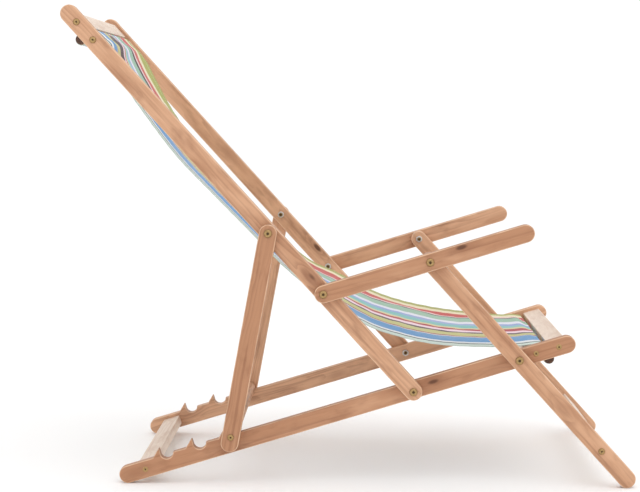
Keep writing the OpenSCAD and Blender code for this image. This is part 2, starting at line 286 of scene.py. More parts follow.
def wood_material(name, pale, warm, dark, edge):
    """Oiled hardwood. The attribute "grain" is each board's own space, its X along the board and
    its growth rings round the X axis; "tone" sets one board apart from the next; "edge" marks the
    arris, where the colour edge is painted on as a highlight, and "end" the end grain."""
    g = Graph(name)
    grain = g.attribute("grain", "Vector")
    tone = g.attribute("tone")

    knots = g.node("ShaderNodeTexVoronoi", voronoi_dimensions="3D", feature="F1")
    g.set(knots.inputs["Vector"], g.scaled(grain, KNOT_CELLS))
    g.set(knots.inputs["Scale"], 1.0)
    knot_chance = g.node("ShaderNodeSeparateColor")
    g.set(knot_chance.inputs[0], knots.outputs["Color"])
    is_knot = g.span(knot_chance.outputs[0], 0.52, 0.58)
    near_knot = g.math("MULTIPLY", g.span(knots.outputs["Distance"], 0.5, 0.08), is_knot)
    knot = g.math("MULTIPLY", g.span(knots.outputs["Distance"], 0.14, 0.06), is_knot)

    slow = g.noise(g.scaled(grain, SLOW_BEND), 3.0, 0.55)
    quick = g.noise(g.scaled(grain, QUICK_BEND), 3.0)
    from_heart = g.length(g.scaled(grain, (0.0, 1.0, 1.0)))
    radius = g.math("ADD", from_heart, g.math("MULTIPLY", slow, SLOW_PUSH))
    radius = g.math("MULTIPLY_ADD", quick, QUICK_PUSH, radius)
    radius = g.math("MULTIPLY_ADD", near_knot, KNOT_PUSH, radius)
    phase = g.math("FRACT", g.math("DIVIDE", radius, RING_WIDTH))
    late = g.math("MULTIPLY", g.span(phase, 0.25, 0.95), g.span(phase, 1.0, 0.95))
    plain_places = g.noise(g.scaled(grain, PLAIN_PATCHES), 2.0)
    late = g.math("MULTIPLY", late, g.span(plain_places, 0.38, 0.66, 0.15, 1.0))

    fibre = g.noise(g.scaled(grain, FIBRES), 2.0, 0.6)
    streak = g.noise(g.scaled(grain, STREAKS), 4.0, 0.6)
    cloud = g.noise(g.scaled(grain, CLOUDS), 3.0, 0.6)
    blotch = g.noise(g.scaled(grain, BLOTCHES), 3.0, 0.6)

    body = g.mix(g.span(g.math("MULTIPLY_ADD", tone, 0.6, cloud), 0.30, 0.80), warm, pale)
    body = g.mix(g.span(blotch, 0.52, 0.74, 0.0, 0.34), body, dark)
    body = g.mix(g.math("MULTIPLY", late, 0.34), body, dark)
    body = g.mix(g.span(streak, 0.50, 0.74, 0.0, 0.42), body, dark)
    body = g.mix(g.span(fibre, 0.55, 0.8, 0.0, 0.22), body, dark)
    body = g.mix(g.math("MULTIPLY", near_knot, 0.34), body, dark)
    body = g.mix(g.math("MULTIPLY", knot, 0.85), body, linear(*KNOT_HEART))
    end = g.attribute("end")
    pores = g.noise(g.scaled(grain, END_PORES), 2.0)
    body = g.mix(g.math("MULTIPLY", end, g.span(pores, 0.3, 0.7, 0.12, 0.42)), body, dark)
    # Painted highlight on the rounded arris, in the colour edge, stronger in patches
    wear_and_highlight_noise = g.noise(g.scaled(grain, ARRIS_HIGHLIGHT_PATCHES), 3.0)
    arris_highlight = g.math("MULTIPLY", g.attribute("edge"), g.span(wear_and_highlight_noise, 0.25, 0.7, 0.25, 0.80))
    body = g.mix(arris_highlight, body, edge)

    height = g.math("MULTIPLY_ADD", fibre, -0.6, g.math("MULTIPLY", late, 0.5))
    height = g.math("SUBTRACT", height, knot)
    return g.finish(
        Base_Color=body,
        Roughness=g.span(g.math("MULTIPLY_ADD", late, -0.3, fibre), 0.1, 0.8, 0.42, 0.62),
        Normal=g.bump(height, 0.35, 0.00025),
        Specular_IOR_Level=0.35,
    )


# Noise frequencies of the dark end, partly stain and partly painted shade: its pores, its rings and the places
# where it's rubbed
STAIN_PORES = (90.0, 1400.0, 1400.0)
STAIN_RINGS = (20.0, 420.0, 420.0)
STAIN_RUBBED = (260.0, 260.0, 260.0)
BARE_WOOD = (150, 108, 82)


def stain_and_shade_material(name, colour, deep):
    """Dark end of a dowel, partly a stain and partly painted shade, deeper in the pores and thinner where it's
    rubbed.
    """
    g = Graph(name)
    grain = g.attribute("grain", "Vector")
    pores = g.noise(g.scaled(grain, STAIN_PORES), 2.0)
    rings = g.noise(g.scaled(grain, STAIN_RINGS), 3.0, 0.6)
    wear_and_highlight_noise = g.noise(g.scaled(grain, STAIN_RUBBED), 3.0, 0.6)
    body = g.mix(g.span(pores, 0.35, 0.7, 0.0, 0.7), colour, deep)
    body = g.mix(g.span(rings, 0.45, 0.7, 0.0, 0.5), body, deep)
    body = g.mix(g.span(wear_and_highlight_noise, 0.52, 0.75, 0.0, 0.35), body, linear(*BARE_WOOD))
    return g.finish(
        Base_Color=body,
        Roughness=g.span(wear_and_highlight_noise, 0.3, 0.7, 0.48, 0.66),
        Normal=g.bump(pores, 0.3, 0.0002),
        Specular_IOR_Level=0.35,
    )


# Noise frequencies of a metal's dull patches and of its fine grime
DULL_PATCHES = (420.0, 420.0, 420.0)
GRIME = (1500.0, 1500.0, 1500.0)
# Colour of the shade painted into bolt sockets and round the foot of each head
PAINTED_SHADE_COLOUR = (58, 44, 32)


def metal_material(name, colour, shade, roughness):
    """Plated steel, duller and darker in patches."""
    g = Graph(name)
    place = g.node("ShaderNodeTexCoord").outputs["Object"]
    patches = g.noise(g.scaled(place, DULL_PATCHES), 4.0, 0.6)
    grime = g.noise(g.scaled(place, GRIME), 2.0)
    painted_shade = g.attribute("painted_shade")
    body = g.mix(g.span(patches, 0.42, 0.72, 0.0, 0.55), colour, shade)
    # Painted shade in the sockets and round the foot of each head
    body = g.mix(painted_shade, body, linear(*PAINTED_SHADE_COLOUR))
    return g.finish(
        Base_Color=body,
        Metallic=0.9,
        Roughness=g.span(patches, 0.3, 0.7, roughness, roughness + 0.18),
        Normal=g.bump(grime, 0.12, 0.00012),
    )


# Stripes of the fabric from its left edge to its right: width in millimetres, display colour
STRIPES = [
    (27, (159, 163, 71)),
    (28, (227, 217, 182)),
    (56, (190, 56, 54)),
    (10, (236, 209, 209)),
    (7, (70, 48, 56)),
    (42, (142, 179, 157)),
    (20, (217, 217, 230)),
    (18, (140, 159, 205)),
    (26, (121, 182, 180)),
    (14, (205, 196, 148)),
    (14, (168, 32, 52)),
    (19, (232, 204, 215)),
    (12, (66, 38, 54)),
    (32, (186, 184, 117)),
    (8, (150, 66, 86)),
    (6, (223, 217, 204)),
    (52, (79, 140, 192)),
    (15, (221, 225, 228)),
    (8, (58, 76, 80)),
    (23, (194, 213, 205)),
]
THREAD_MM = 0.95
# Stitch lines: distance from the fabric's ends and from its folded long edges, and stitch length
SEAM_MM = 55
HEM_FOLD_MM = 11
STITCH_MM = 3.6
# How far the stripes wander from a straight line
WANDER_MM = 1.6
# Linear colours that show through: shadow between threads, worn yarn, sewing thread
THREAD_SHADE = (0.62, 0.60, 0.56, 1)
WORN_WARP = (0.80, 0.78, 0.72, 1)
WORN_WEFT = (0.78, 0.76, 0.70, 1)
SUN_FADE = (0.80, 0.78, 0.74, 1)
SEWING_THREAD = (0.72, 0.70, 0.62, 1)


def fabric_material(width_mm, length_mm):
    """Woven canvas with stitched hems. The attribute "cloth" is millimetres across from the left
    edge and millimetres along from the end of the front hem."""
    g = Graph("striped_canvas")
    cloth = g.attribute("cloth", "Vector")
    parts = g.node("ShaderNodeSeparateXYZ")
    g.set(parts.inputs[0], cloth)
    across, along = parts.outputs[0], parts.outputs[1]

    total = sum(w for w, _ in STRIPES)
    ramp = g.node("ShaderNodeValToRGB")
    ramp.color_ramp.interpolation = "CONSTANT"
    wander = g.noise(g.scaled(cloth, (0.05, 0.012, 0.0)), 1.0)
    place = g.math("MULTIPLY_ADD", wander, WANDER_MM, g.math("SUBTRACT", across, WANDER_MM / 2))
    g.set(ramp.inputs[0], g.math("DIVIDE", place, width_mm))
    edge = 0
    stops = ramp.color_ramp.elements
    for i, (stripe_w, colour) in enumerate(STRIPES):
        stop = stops[0] if i == 0 else stops.new(edge / total)
        stop.position = edge / total
        stop.color = linear(*colour)
        edge += stripe_w
    stops.remove(stops[-1])

    turn = math.pi / THREAD_MM
    warp = g.math("SINE", g.math("MULTIPLY", across, turn))
    weft = g.math("SINE", g.math("MULTIPLY", along, turn))
    weave = g.math("MULTIPLY", warp, weft)
    ribs = g.math("ADD", g.math("ABSOLUTE", warp), g.math("ABSOLUTE", weft))
    slub = g.noise(g.scaled(cloth, (1.0, 0.05, 0.0)), 2.0, 0.7)
    cross_slub = g.noise(g.scaled(cloth, (0.05, 1.0, 0.0)), 2.0, 0.7)
    fade = g.noise(g.scaled(cloth, (0.012, 0.006, 0.0)), 3.0)

    dashes = []
    stitch_lines = ((across, along, width_mm, HEM_FOLD_MM), (along, across, length_mm, SEAM_MM))
    for position, travel, size, inset in stitch_lines:
        to_edge = g.math("MINIMUM", position, g.math("SUBTRACT", size, position))
        to_seam = g.math("ABSOLUTE", g.math("SUBTRACT", to_edge, inset))
        phase = g.math("FRACT", g.math("DIVIDE", travel, STITCH_MM))
        dash = g.math("MULTIPLY", g.span(phase, 0.0, 0.12), g.span(phase, 0.80, 0.68))
        dashes.append(g.math("MULTIPLY", dash, g.span(to_seam, 0.75, 0.35)))
    stitch = g.math("MAXIMUM", dashes[0], dashes[1])
    to_long_edge = g.math("MINIMUM", across, g.math("SUBTRACT", width_mm, across))
    folded = g.span(to_long_edge, HEM_FOLD_MM + 1.0, HEM_FOLD_MM - 1.0)

    body = g.mix(g.span(weave, -0.2, 0.9, 0.0, 0.10), ramp.outputs["Color"], THREAD_SHADE)
    body = g.mix(g.span(slub, 0.45, 0.8, 0.0, 0.16), body, WORN_WARP)
    body = g.mix(g.span(cross_slub, 0.5, 0.85, 0.0, 0.14), body, WORN_WEFT)
    body = g.mix(g.span(fade, 0.35, 0.75, 0.02, 0.14), body, SUN_FADE)
    body = g.mix(g.math("MULTIPLY", stitch, 0.85), body, SEWING_THREAD)

    height = g.math("ADD", g.math("MULTIPLY", weave, 0.5), g.math("MULTIPLY", ribs, 0.5))
    coarse = g.bump(g.math("ADD", slub, cross_slub), 0.25, 0.0004)
    seams = g.bump(g.math("ADD", stitch, g.math("MULTIPLY", folded, 2.0)), 0.5, 0.0005, coarse)
    return g.finish(
        Base_Color=body,
        Roughness=g.span(slub, 0.3, 0.8, 0.78, 0.92),
        Normal=g.bump(height, 0.30, 0.0003, seams),
        Specular_IOR_Level=0.2,
        Sheen_Weight=0.12,
        Sheen_Roughness=0.5,
    )


# ---------------------------------------------------------------- mesh helpers

SIDES = (1, -1)
RING_SIDES = 48


def new_mesh_object(name, points, faces, material):
    mesh = bpy.data.meshes.new(name)
    mesh.from_pydata([tuple(p) for p in points], [], faces)
    mesh.materials.append(material)
    mesh.polygons.foreach_set("use_smooth", [True] * len(mesh.polygons))
    made = bpy.data.objects.new(name, mesh)
    bpy.context.scene.collection.objects.link(made)
    return made


def add_attribute(obj, name, values, kind="FLOAT"):
    """Gives a mesh a value at each vertex, for its material to read."""
    field = "vector" if kind == "FLOAT_VECTOR" else "value"
    attribute = obj.data.attributes.new(name, kind, "POINT")
    attribute.data.foreach_set(field, np.asarray(values, np.float32).ravel())


def stand_for(obj, node):
    """obj takes the place of a CAD node and moves with that node's body."""
    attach(obj, BODY_OF[node])
    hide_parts(node)
    return obj


def outer_edge(node):
    """The CAD board's outline in the side view: its outermost loop, as points in order."""
    shape = bmesh.new()
    shape.from_mesh(NODES[node].data)
    bmesh.ops.remove_doubles(shape, verts=shape.verts, dist=0.01 * MM)
    top = max(v.co.y for v in shape.verts)
    cap = {f for f in shape.faces if all(v.co.y > top - 0.05 * MM for v in f.verts)}
    rim = [e for e in shape.edges if len([f for f in e.link_faces if f in cap]) == 1]
    links = {}
    for e in rim:
        a, b = e.verts
        links.setdefault(a, []).append(b)
        links.setdefault(b, []).append(a)
    loops = []
    while links:
        start = min(links, key=lambda v: (v.co.x, v.co.z))
        loop, current = [start], links.pop(start)[0]
        while current is not start:
            loop.append(current)
            options = links.pop(current)
            current = options[0] if options[0] is not loop[-2] else options[1]
        loops.append([(v.co.x, v.co.z) for v in loop])
    shape.free()
    return max(loops, key=lambda loop: abs(loop_area(loop)))


def loop_area(loop):
    return sum(a[0] * b[1] - b[0] * a[1] for a, b in zip(loop, loop[1:] + loop[:1])) / 2


def without_straight_points(loop):
    """Drops the points that lie on a straight run."""
    kept = []
    for i, p in enumerate(loop):
        before, after = Vector(loop[i - 1]), Vector(loop[(i + 1) % len(loop)])
        here = Vector(p)
        if (here - before).angle(after - here, 0) > math.radians(0.6):
            kept.append(p)
    return kept


def inward_steps(loop):
    """At each point of an anticlockwise loop, the step that moves it 1 unit in from both its edges,
    and the most units it can move before a narrow tip closes."""
    steps, most = [], []
    count = len(loop)
    for i in range(count):
        here, before, after = Vector(loop[i]), Vector(loop[i - 1]), Vector(loop[(i + 1) % count])
        a, b = (here - before), (after - here)
        turn = math.atan2(a.x * b.y - a.y * b.x, a.dot(b))
        inward_a, inward_b = Vector((-a.y, a.x)).normalized(), Vector((-b.y, b.x)).normalized()
        bisector = (inward_a + inward_b).normalized()
        steps.append(bisector / max(0.4, bisector.dot(inward_a)))
        tight = turn > math.radians(40)
        most.append(0.4 * min(a.length, b.length) if tight else 1.0)
    return steps, most


# How pale a board is against the others, from -1 to 1
TONES = {
    "back_rail_right": 0.25,
    "back_rail_left": 0.30,
    "front_leg_left": 0.30,
    "front_leg_right": 0.10,
    "base_rail_left": 0.55,
    "base_rail_right": -0.25,
    "armrest_left": 0.25,
    "armrest_right": -0.25,
    "prop_leg_left": 0.50,
    "prop_leg_right": -0.40,
    "prop_crossbar": 0.80,
    "rear_crossbar": 0.35,
}
EDGE_ROUNDING = 2.0 * MM
EDGE_STEPS = 4
CUT_END_ROUNDING = 0.3 * MM
# Random ranges of each board: where along the tree it was sawn, how far beside and above the tree's
# heart, and how much its tone strays
SAWN_ALONG = (-50, 50)
SAWN_BESIDE = (0.05, 0.12)
SAWN_ABOVE = (-0.09, 0.09)
TONE_STRAY = (-0.06, 0.06)


def rounded_board(name, loop, y_low, y_high, along, material, rounding=EDGE_ROUNDING):
    """A board from its outline in the side view, with its edges rounded over on both faces."""
    loop = without_straight_points(loop)
    if loop_area(loop) < 0:
        loop = loop[::-1]
    steps, most = inward_steps(loop)
    count = len(loop)
    turns = [math.pi / 2 * k / EDGE_STEPS for k in range(EDGE_STEPS + 1)]
    levels = [
        (y_low + rounding * (1 - math.cos(t)), rounding * (1 - math.sin(t)), math.sin(t))
        for t in turns
    ]
    levels += [(y_low + y_high - y, inset, side) for y, inset, side in reversed(levels)]
    across_board = upright(along)
    y_middle = (y_low + y_high) / 2
    centre = Vector((sum(p[0] for p in loop) / count, 0, sum(p[1] for p in loop) / count))
    shift = Vector([RNG.uniform(*limits) for limits in (SAWN_ALONG, SAWN_BESIDE, SAWN_ABOVE)])
    tone = TONES.get(name.removeprefix("wood_"), 0.0) + RNG.uniform(*TONE_STRAY)
    points, grain, edge, end = [], [], [], []
    for y, inset, side in levels:
        for (x, z), step, limit in zip(loop, steps, most):
            move = step * min(inset, limit)
            p = Vector((x + move.x, y, z + move.y))
            points.append(p)
            offset = p - centre
            own = Vector((offset.dot(along), y - y_middle, offset.dot(across_board)))
            grain.append(own + shift)
            # The rounded arris, where the wood material paints a highlight
            edge.append(1.0 if 0.05 < side < 0.95 else 0.0)
            end.append(side * abs(Vector((step.x, 0, step.y)).normalized().dot(along)) ** 2)
    faces = [tuple(range(count)), tuple(range(len(points) - 1, len(points) - count - 1, -1))]
    for ring in range(len(levels) - 1):
        for i in range(count):
            j = (i + 1) % count
            a, b = ring * count, (ring + 1) * count
            faces.append((a + j, a + i, b + i, b + j))
    made = new_mesh_object(name, points, faces, material)
    crisp = {0, EDGE_STEPS, EDGE_STEPS + 1, 2 * EDGE_STEPS + 1}
    for e in made.data.edges:
        a, b = (v // count for v in e.vertices)
        e.use_edge_sharp = a == b and a in crisp
    add_attribute(made, "grain", [tuple(v) for v in grain], "FLOAT_VECTOR")
    add_attribute(made, "tone", [tone] * len(points))
    add_attribute(made, "edge", edge)
    add_attribute(made, "end", end)
    return made


def round_corners(corners, radius, steps):
    """A rectangle's outline with rounded corners."""
    loop = []
    count = len(corners)
    for i, corner in enumerate(corners):
        to_before = (corners[i - 1] - corner).normalized()
        to_after = (corners[(i + 1) % count] - corner).normalized()
        centre = corner + (to_before + to_after) * radius
        for k in range(steps + 1):
            turn = math.pi / 2 * k / steps
            offset = to_after * radius * math.cos(turn) + to_before * radius * math.sin(turn)
            loop.append(centre - offset)
    return [tuple(p) for p in loop]


def make_rail(node, along, material):
    """A rail, leg or armrest: a board that stands on edge along the side of the chair."""
    low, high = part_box(node)
    made = rounded_board("wood_" + node, outer_edge(node), low.y, high.y, along, material)
    return stand_for(made, node)


def make_crossbar(node, along, material):
    """A flat board between two rails. Its grain runs across the chair."""
    low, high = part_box(node)
    centre = (low + high) / 2
    shape = NODES[node].data.vertices
    half_w = max(abs((v.co - centre).dot(along)) for v in shape)
    half_t = max(abs((v.co - centre).dot(upright(along))) for v in shape)
    side, up = Vector((along.x, along.z)), Vector((upright(along).x, upright(along).z))
    flat_centre = Vector((centre.x, centre.z))
    ways = ((-1, -1), (1, -1), (1, 1), (-1, 1))
    corners = [flat_centre + side * a * half_w + up * b * half_t for a, b in ways]
    loop = round_corners(corners, EDGE_ROUNDING, EDGE_STEPS)
    made = rounded_board("wood_" + node, loop, low.y, high.y, along, material, CUT_END_ROUNDING)
    turn_grain_across(made, half_w, half_t)
    return stand_for(made, node)


def turn_grain_across(board, half_w, half_t):
    """Gives a crossbar grain that runs along Y, and marks its rounded long edges for the painted highlight."""
    count = len(board.data.vertices)
    grain = np.zeros(count * 3, np.float32)
    board.data.attributes["grain"].data.foreach_get("vector", grain)
    grain = grain.reshape(-1, 3)
    shift = grain.mean(0)
    local = grain - shift
    near_side = np.abs(local[:, 0]) > half_w - EDGE_ROUNDING
    near_face = np.abs(local[:, 2]) > half_t - EDGE_ROUNDING
    edge = near_side & near_face
    turned = np.stack([local[:, 1], local[:, 2], local[:, 0]], 1) + shift
    board.data.attributes["grain"].data.foreach_set("vector", turned.astype(np.float32).ravel())
    board.data.attributes["edge"].data.foreach_set("value", edge.astype(np.float32))
    board.data.attributes["end"].data.foreach_set("value", np.zeros(count, np.float32))


def turned_piece(name, rings, centre, material, sides=RING_SIDES):
    """A closed form of rings round a line across the chair. Each ring is its place along Y, and its
    radius, which is a number or a function of the angle."""
    points = []
    for y, radius in rings:
        for i in range(sides):
            angle = 2 * math.pi * i / sides
            r = radius(angle) if callable(radius) else radius
            x, z = centre.x + r * math.cos(angle), centre.z + r * math.sin(angle)
            points.append(Vector((x, y, z)))
    faces = [tuple(range(sides)), tuple(range(len(points) - 1, len(points) - sides - 1, -1))]
    for ring in range(len(rings) - 1):
        for i in range(sides):
            j = (i + 1) % sides
            a, b = ring * sides, (ring + 1) * sides
            faces.append((a + j, a + i, b + i, b + j))
    made = new_mesh_object(name, points, faces, material)
    shape = bmesh.new()
    shape.from_mesh(made.data)
    bmesh.ops.recalc_face_normals(shape, faces=shape.faces)
    shape.to_mesh(made.data)
    shape.free()
    made.data.set_sharp_from_angle(angle=math.radians(35))
    return made


def joined(name, parts):
    """The parts as one object, which keeps the first one's materials and attributes."""
    context = bpy.context
    bpy.ops.object.select_all(action="DESELECT")
    for part in parts:
        part.select_set(True)
    context.view_layer.objects.active = parts[0]
    bpy.ops.object.join()
    parts[0].name = name
    return parts[0]


# ---------------------------------------------------------------- wood

# How far the dark end, stain with painted shade, runs in from a rod's end, and the narrow ring
# that closes it off
STAIN_AND_SHADE = 2.5 * MM
STAIN_AND_SHADE_EDGE = 1.0 * MM
ROD_END_STEPS = 4
ROD_ROUNDING = 2 * MM
BAR_ROUNDING = 0.4 * MM
# Random ranges of each rod: as SAWN_ALONG, SAWN_BESIDE and TONE_STRAY are for a board
ROD_BESIDE = (0.03, 0.08)
ROD_TONE_STRAY = (-0.2, 0.2)


def round_bar(node, material, end_radius, end_material=None):
    """A dowel across the chair, with rounded ends and its grain along Y."""
    low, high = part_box(node)
    centre = (low + high) / 2
    radius = (high.z - low.z) / 2
    rings = []
    for k in range(ROD_END_STEPS, -1, -1):
        turn = math.pi / 2 * k / ROD_END_STEPS
        y = low.y + end_radius * (1 - math.sin(turn))
        rings.append((y, radius - end_radius * (1 - math.cos(turn))))
    rings += [(low.y + STAIN_AND_SHADE, radius), (low.y + STAIN_AND_SHADE + STAIN_AND_SHADE_EDGE, radius)]
    rings += [(low.y + high.y - y, r) for y, r in reversed(rings)]
    made = turned_piece("wood_" + node, rings, centre, material)
    co = np.array([v.co for v in made.data.vertices])
    shift = np.array((RNG.uniform(*SAWN_ALONG), RNG.uniform(*ROD_BESIDE), 0.0))
    grain = co[:, [1, 0, 2]] - np.array((0, centre.x, centre.z)) + shift
    add_attribute(made, "grain", grain, "FLOAT_VECTOR")
    tone = TONES.get(node, 0.0) + RNG.uniform(*ROD_TONE_STRAY)
    add_attribute(made, "tone", [tone] * len(co))
    to_end = np.minimum(co[:, 1] - low.y, high.y - co[:, 1])
    add_attribute(made, "edge", np.zeros(len(co)))
    # The dark end: a stain with painted shade
    in_stain_and_shade = to_end < STAIN_AND_SHADE + STAIN_AND_SHADE_EDGE / 2
    add_attribute(made, "end", in_stain_and_shade.astype(float))
    if end_material:
        made.data.materials.append(end_material)
        for face in made.data.polygons:
            if all(in_stain_and_shade[i] for i in face.vertices):
                face.material_index = 1
    return stand_for(made, node)


def make_wood():
    # In both woods the colour edge is a painted highlight on each board's rounded arris
    rail = wood_material(
        "rail_wood",
        pale=linear(214, 168, 134),
        warm=linear(180, 131, 98),
        dark=linear(126, 78, 52),
        edge=linear(232, 196, 164),
    )
    # The crossbar wood is paler than the rail wood: partly a paler wood, partly painted top light and sheen
    bar = wood_material(
        "crossbar_wood",
        pale=linear(226, 208, 192),
        warm=linear(214, 192, 174),
        dark=linear(182, 142, 112),
        edge=linear(240, 224, 208),
    )
    boards = [
        (BASE_DIR, ["base_rail_left", "base_rail_right", "armrest_left", "armrest_right"]),
        (BACK_DIR, ["back_rail_left", "back_rail_right", "front_leg_left", "front_leg_right"]),
        (PROP_DIR, ["prop_leg_left", "prop_leg_right"]),
    ]
    for along, names in boards:
        for node in names:
            make_rail(node, along, rail)
    bars = [
        (BASE_DIR, ["rear_crossbar", "front_crossbar", "front_tension_bar"]),
        (BACK_DIR, ["top_crossbar", "top_tension_bar", "leg_crossbar"]),
    ]
    for along, names in bars:
        for node in names:
            make_crossbar(node, along, bar)
    # The rods' dark ends are partly stain and partly painted shade
    stain_and_shade = stain_and_shade_material("stained_end_with_painted_shade", linear(98, 71, 56), linear(66, 44, 34))
    round_bar("prop_crossbar", rail, BAR_ROUNDING)
    round_bar("front_hem_rod", rail, ROD_ROUNDING, stain_and_shade)
    round_bar("top_hem_rod", rail, ROD_ROUNDING, stain_and_shade)


# ---------------------------------------------------------------- fasteners

BRASSED, ZINC = "brassed_steel", "zinc_steel"
# How deep a socket goes at most, as a share of its head's height
SOCKET_DEEP = 0.78
# A screw's head is found within this distance of its bar's middle line
HEAD_REACH = 10 * MM
# The most of a screw's proud height that its socket may take up
PROUD_SHARE = 0.85
# A screw's shank, as a share of its head's radius
SCREW_SHANK = 0.77
HEXAGON_SIDES = 72
WASHER_SOFT = 0.2 * MM


def hexagon(across_flats, softness=0.0):
    """Radius of a hexagon at an angle, with its corners cut back by softness."""
    inner = across_flats / 2
    outer = inner / math.cos(math.pi / 6)

    def radius(angle):
        local = (angle + math.pi / 6) % (math.pi / 3) - math.pi / 6
        return min(inner / math.cos(local), outer - softness)

    return radius


def mark_painted_shade(obj, centre, from_radius, to_radius, y_deep, side):
    """Paints shade into the socket and onto the ring where the head meets the wood."""
    values = []
    for v in obj.data.vertices:
        r = math.hypot(v.co.x - centre.x, v.co.z - centre.z)
        in_socket = r < from_radius and side * v.co.y < side * y_deep
        values.append(0.85 if in_socket else (0.45 if r > to_radius else 0.0))
    add_attribute(obj, "painted_shade", values)


def bolt(name, centre, side, seat_y, end_y, head_d, head_h, shank_d, material, socket_deep):
    """A furniture bolt: a low domed button head with a raised ring and a hexagon socket, which goes
    socket_deep of the head's height into it."""
    r = head_d / 2
    socket = hexagon(0.62 * shank_d)
    top = seat_y + head_h
    floor = top - socket_deep * head_h
    rings = [
        (end_y, 0.30 * shank_d),
        (end_y + 0.6 * MM, shank_d / 2),
        (seat_y, shank_d / 2),
        (seat_y, r - 0.25 * MM),
        (seat_y + 0.12 * head_h, r),
        (seat_y + 0.40 * head_h, r),
        (seat_y + 0.66 * head_h, 0.93 * r),
        (seat_y + 0.86 * head_h, 0.80 * r),
        (top, 0.64 * r),
        (top - 0.02 * head_h, 0.55 * r),
        (top - 0.20 * socket_deep * head_h, lambda a: 1.14 * socket(a)),
        (top - 0.26 * socket_deep * head_h, socket),
        (floor + 0.10 * socket_deep * head_h, socket),
        (floor + 0.03 * socket_deep * head_h, lambda a: 0.5 * socket(a)),
        (floor, 0.1 * r),
    ]
    made = turned_piece(name, [(side * y, rad) for y, rad in rings], centre, material)
    # Painted shade in the socket and round the head's foot
    mark_painted_shade(made, centre, 0.42 * r, 0.97 * r, side * (top - 0.22 * socket_deep * head_h), side)
    return made


def bolts(node, material):
    """The pair of pivot bolts of one node: heads outside, ends inside."""
    low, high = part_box(node)
    centre = middle(node)
    shape = [v.co for v in NODES[node].data.vertices if v.co.y > 0]
    head_d = high.z - low.z
    tip = min(v.y for v in shape)
    shank_d = 2 * max(abs(v.z - centre.z) for v in shape if v.y < tip + 1 * MM)
    seat = min(v.y for v in shape if abs(v.z - centre.z) > 0.45 * head_d)
    head_h = high.y - seat
    parts = [
        bolt(node, centre, side, seat, tip, head_d, head_h, shank_d, material, SOCKET_DEEP)
        for side in SIDES
    ]
    return stand_for(joined("metal_" + node, parts), node)


def screws(node, boards, rail, material):
    """Crossbar screws. Only their heads show, and their sockets end above the rail's face."""
    _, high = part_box(node)
    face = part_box(rail)[1].y
    shape = [v.co for v in NODES[node].data.vertices if v.co.y > 0]
    first = middle(boards[0])
    own = [(math.hypot(v.x - first.x, v.z - first.z), v.y) for v in shape]
    own = [(r, y) for r, y in own if r < HEAD_REACH]
    head_r = max(r for r, _ in own)
    seat = min(y for r, y in own if r > 0.9 * head_r)
    tip = min(y for _, y in own)
    head_h = high.y - seat
    socket_deep = min(SOCKET_DEEP, PROUD_SHARE * (high.y - face) / head_h)
    sizes = (seat, tip, 2 * head_r, head_h, SCREW_SHANK * head_r)
    parts = [
        bolt(node, middle(board), side, *sizes, material, socket_deep)
        for board in boards
        for side in SIDES
    ]
    return stand_for(joined("metal_" + node, parts), node)


def plain_pair(node, rings, material, sides):
    """One turned piece on each side of the chair, with no painted shade."""
    parts = []
    for side in SIDES:
        own_rings = [(side * y, r) for y, r in rings]
        part = turned_piece(node, own_rings, middle(node), material, sides)
        add_attribute(part, "painted_shade", [0.0] * len(part.data.vertices))
        parts.append(part)
    return stand_for(joined("metal_" + node, parts), node)


def nuts(node, material):
    """Hexagon nuts with chamfered corners on the inside of each pivot."""
    low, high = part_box(node)
    places = [v.co.y for v in NODES[node].data.vertices if v.co.y > 0]
    inner, outer = min(places), max(places)
    across = min(high.x - low.x, high.z - low.z)
    bore = 0.31 * across
    chamfer = 0.10 * across
    rings = [
        (outer, bore),
        (outer, hexagon(across, 0.01 * across)),
        (inner + chamfer, hexagon(across, 0.01 * across)),
        (inner + 0.3 * chamfer, hexagon(across, 0.06 * across)),
        (inner, 0.46 * across),
        (inner, 0.36 * across),
        (inner + 0.6 * chamfer, bore),
    ]
    return plain_pair(node, rings, material, HEXAGON_SIDES)


def washers(node, material):
    """Flat washers between the rails at a pivot."""
    low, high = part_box(node)
    centre = middle(node)
    shape = [v.co for v in NODES[node].data.vertices if v.co.y > 0]
    inner, outer = min(v.y for v in shape), max(v.y for v in shape)
    radius = (high.z - low.z) / 2
    bore = min(math.hypot(v.x - centre.x, v.z - centre.z) for v in shape)
    soft = WASHER_SOFT
    rings = [(inner, bore), (inner, radius - soft), (inner + soft, radius)]
    rings += [(outer - soft, radius), (outer, radius - soft), (outer, bore)]
    return plain_pair(node, rings, material, RING_SIDES)


def make_fasteners():
    brass = metal_material(BRASSED, linear(176, 146, 100), linear(116, 90, 56), 0.34)
    zinc = metal_material(ZINC, linear(212, 208, 204), linear(160, 156, 152), 0.36)
    for place in ("back_pivot", "leg_pivot", "armrest_pivot", "prop_pivot", "armrest_front"):
        bolts(place + "_bolts", brass)
        nuts(place + "_nuts", zinc)
        washers(place + "_washers", zinc)
    base_bars = ["rear_crossbar", "front_tension_bar", "front_crossbar"]
    screw_groups = [
        ("base_crossbar_screws", base_bars, "base_rail_left"),
        ("top_crossbar_screws", ["top_tension_bar", "top_crossbar"], "back_rail_left"),
        ("leg_crossbar_screws", ["leg_crossbar"], "front_leg_left"),
        ("prop_crossbar_screws", ["prop_crossbar"], "prop_leg_left"),
    ]
    for node, boards, rail in screw_groups:
        screws(node, boards, rail, brass)


# ---------------------------------------------------------------- sling

